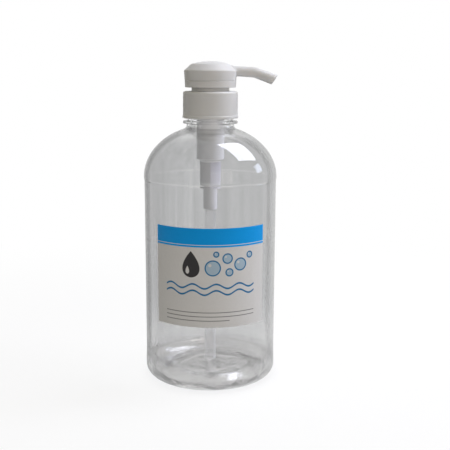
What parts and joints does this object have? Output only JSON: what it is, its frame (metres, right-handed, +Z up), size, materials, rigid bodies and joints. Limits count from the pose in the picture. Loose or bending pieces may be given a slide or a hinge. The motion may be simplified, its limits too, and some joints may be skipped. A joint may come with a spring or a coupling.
{
  "type": "soap pump dispenser",
  "caption": "Clear round bottle with a domed shoulder and a white screw-on lotion pump, whose head is pressed to push liquid soap out of a bent spout.",
  "frame": {"origin": "centre of the foot ring, on the surface that the bottle stands on", "axes": "+Z up along the bottle's axis, +X along the spout at rest, -Y towards the label"},
  "size_m": [0.085, 0.085, 0.2034],
  "materials": {
    "clear_bottle": "clear blow-moulded plastic, glossy",
    "label_film": "printed film, satin, blue band over a pale panel",
    "white_plastic": "moulded white plastic, semi-gloss",
    "milky_plastic": "natural translucent plastic, satin",
    "seal_rubber": "soft seal plastic, matt",
    "spring_steel": "bright drawn wire",
    "ball_glass": "ground glass ball"
  },
  "bodies": {
    "bottle": {"bottle": "clear_bottle", "front_label": "label_film"},
    "pump_core": {"pump_housing": "milky_plastic", "neck_gasket": "seal_rubber", "lock_chaplet": "white_plastic", "stem_seal": "seal_rubber", "ball_cage": "milky_plastic", "dip_tube": "milky_plastic", "return_spring": "spring_steel"},
    "collar": {"closure_collar": "white_plastic"},
    "plunger": {"plunger_stem": "white_plastic", "piston_rod": "milky_plastic"},
    "head": {"actuator_head": "white_plastic", "head_skirt": "white_plastic"},
    "piston": {"piston_seal": "seal_rubber"},
    "ball": {"inlet_ball": "ball_glass"}
  },
  "joints": [
    {"name": "pump_lift", "type": "slide", "parent": "bottle", "child": "pump_core", "axis": [0, 0, 1], "range_m": [0, 0.0064]},
    {"name": "closure_turn", "type": "hinge", "parent": "pump_core", "child": "collar", "pos_m": [0, 0, 0.176], "axis": [0, 0, 1], "range_deg": [0, 540]},
    {"name": "pump_stroke", "type": "slide", "parent": "pump_core", "child": "plunger", "axis": [0, 0, 1], "range_m": [0, 0.014], "stiffness_N_per_m": 800, "springref_m": 0.02, "deforming": ["return_spring"]},
    {"name": "head_turn", "type": "hinge", "parent": "plunger", "child": "head", "pos_m": [0, 0, 0.195], "axis": [0, 0, 1], "continuous": true},
    {"name": "piston_float", "type": "slide", "parent": "plunger", "child": "piston", "axis": [0, 0, 1], "range_m": [0, 0.0012]},
    {"name": "ball_lift", "type": "slide", "parent": "pump_core", "child": "ball", "axis": [0, 0, 1], "range_m": [0, 0.002]}
  ],
  "couplings": [
    {"joint": "pump_lift", "follows": "closure_turn", "m_per_rad": 0.0006737}
  ]
}
